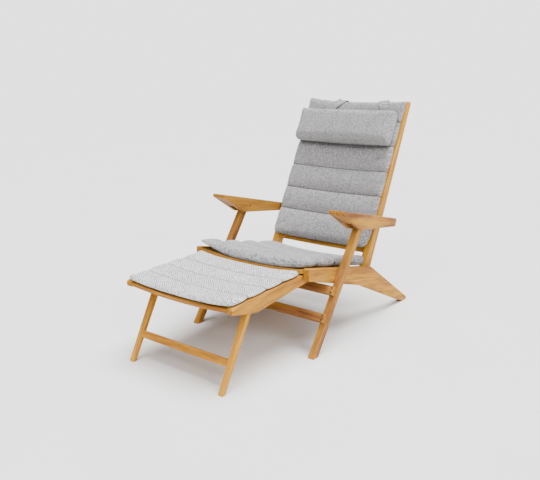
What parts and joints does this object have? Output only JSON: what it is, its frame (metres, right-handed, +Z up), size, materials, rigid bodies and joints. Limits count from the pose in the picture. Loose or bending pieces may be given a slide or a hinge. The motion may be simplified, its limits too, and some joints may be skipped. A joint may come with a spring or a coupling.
{
  "type": "folding deck chair",
  "caption": "Folding slatted deck chair with curved rear rails, armrests, a hinged footrest on its own legs, channelled cushions and a strapped headrest pillow.",
  "frame": {"origin": "on the floor, under the middle of the whole chair with its footrest", "axes": "+Z up, -Y towards the footrest, +X towards the sitter's left"},
  "size_m": [0.65, 1.2622, 0.927],
  "materials": {
    "teak": "oiled teak, fine straight grain, satin",
    "fabric": "woven light grey outdoor cloth, matte",
    "steel": "dull bolts and screws"
  },
  "bodies": {
    "seat_frame": {"seat_rail_left": "teak", "seat_rail_right": "teak", "seat_slat_1": "teak", "seat_slat_2": "teak", "seat_slat_3": "teak", "seat_slat_4": "teak", "seat_slat_5": "teak", "seat_slat_6": "teak", "seat_slat_7": "teak", "seat_slat_8": "teak", "seat_cushion": "fabric", "leg_pivot_bolts": "steel", "back_pivot_bolts": "steel", "footrest_pivot_bolts": "steel"},
    "back_frame": {"back_stile_left": "teak", "back_stile_right": "teak", "back_slat_1": "teak", "back_slat_2": "teak", "back_slat_3": "teak", "back_slat_4": "teak", "back_slat_5": "teak", "back_slat_6": "teak", "back_slat_7": "teak", "back_slat_8": "teak", "back_slat_9": "teak", "back_slat_10": "teak", "back_slat_11": "teak", "back_slat_12": "teak", "back_slat_13": "teak", "back_slat_14": "teak", "back_slat_15": "teak", "back_slat_16": "teak", "back_cushion": "fabric", "headrest_pillow": "fabric", "pillow_straps": "fabric", "armrest_rear_bolts": "steel"},
    "leg_frame": {"front_leg_left": "teak", "front_leg_right": "teak", "leg_bar_upper": "teak", "leg_bar_lower": "teak", "bar_screws": "steel", "armrest_front_pins": "steel"},
    "arm_left": {"armrest_left": "teak"},
    "arm_right": {"armrest_right": "teak"},
    "footrest": {"footrest_rail_left": "teak", "footrest_rail_right": "teak", "footrest_slat_1": "teak", "footrest_slat_2": "teak", "footrest_slat_3": "teak", "footrest_slat_4": "teak", "footrest_slat_5": "teak", "footrest_slat_6": "teak", "footrest_slat_7": "teak", "footrest_slat_8": "teak", "footrest_cushion": "fabric", "footrest_leg_bolts": "steel"},
    "footrest_legs": {"footrest_leg_left": "teak", "footrest_leg_right": "teak", "footrest_leg_bar": "teak"}
  },
  "joints": [
    {"name": "back_fold", "type": "hinge", "parent": "seat_frame", "child": "back_frame", "pos_m": [0, 0.257, 0.227], "axis": [1, 0, 0], "range_deg": [0, 85], "deforming": ["seat_cushion", "back_cushion"]},
    {"name": "leg_fold", "type": "hinge", "parent": "seat_frame", "child": "leg_frame", "pos_m": [0, -0.003, 0.27], "axis": [1, 0, 0], "range_deg": [0, 85]},
    {"name": "arm_left_turn", "type": "hinge", "parent": "leg_frame", "child": "arm_left", "pos_m": [0, 0.122, 0.467], "axis": [1, 0, 0], "range_deg": [-85, 0]},
    {"name": "arm_right_turn", "type": "hinge", "parent": "leg_frame", "child": "arm_right", "pos_m": [0, 0.122, 0.467], "axis": [1, 0, 0], "range_deg": [-85, 0]},
    {"name": "footrest_tilt", "type": "hinge", "parent": "seat_frame", "child": "footrest", "pos_m": [0, -0.181, 0.301], "axis": [1, 0, 0], "range_deg": [-8, 75]},
    {"name": "footrest_leg_fold", "type": "hinge", "parent": "footrest", "child": "footrest_legs", "pos_m": [0, -0.48, 0.27], "axis": [1, 0, 0], "range_deg": [0, 105]}
  ],
  "couplings": [
    {"joint": "leg_fold", "follows": "back_fold", "ratio": 1},
    {"joint": "arm_left_turn", "follows": "back_fold", "ratio": -1},
    {"joint": "arm_right_turn", "follows": "back_fold", "ratio": -1}
  ]
}
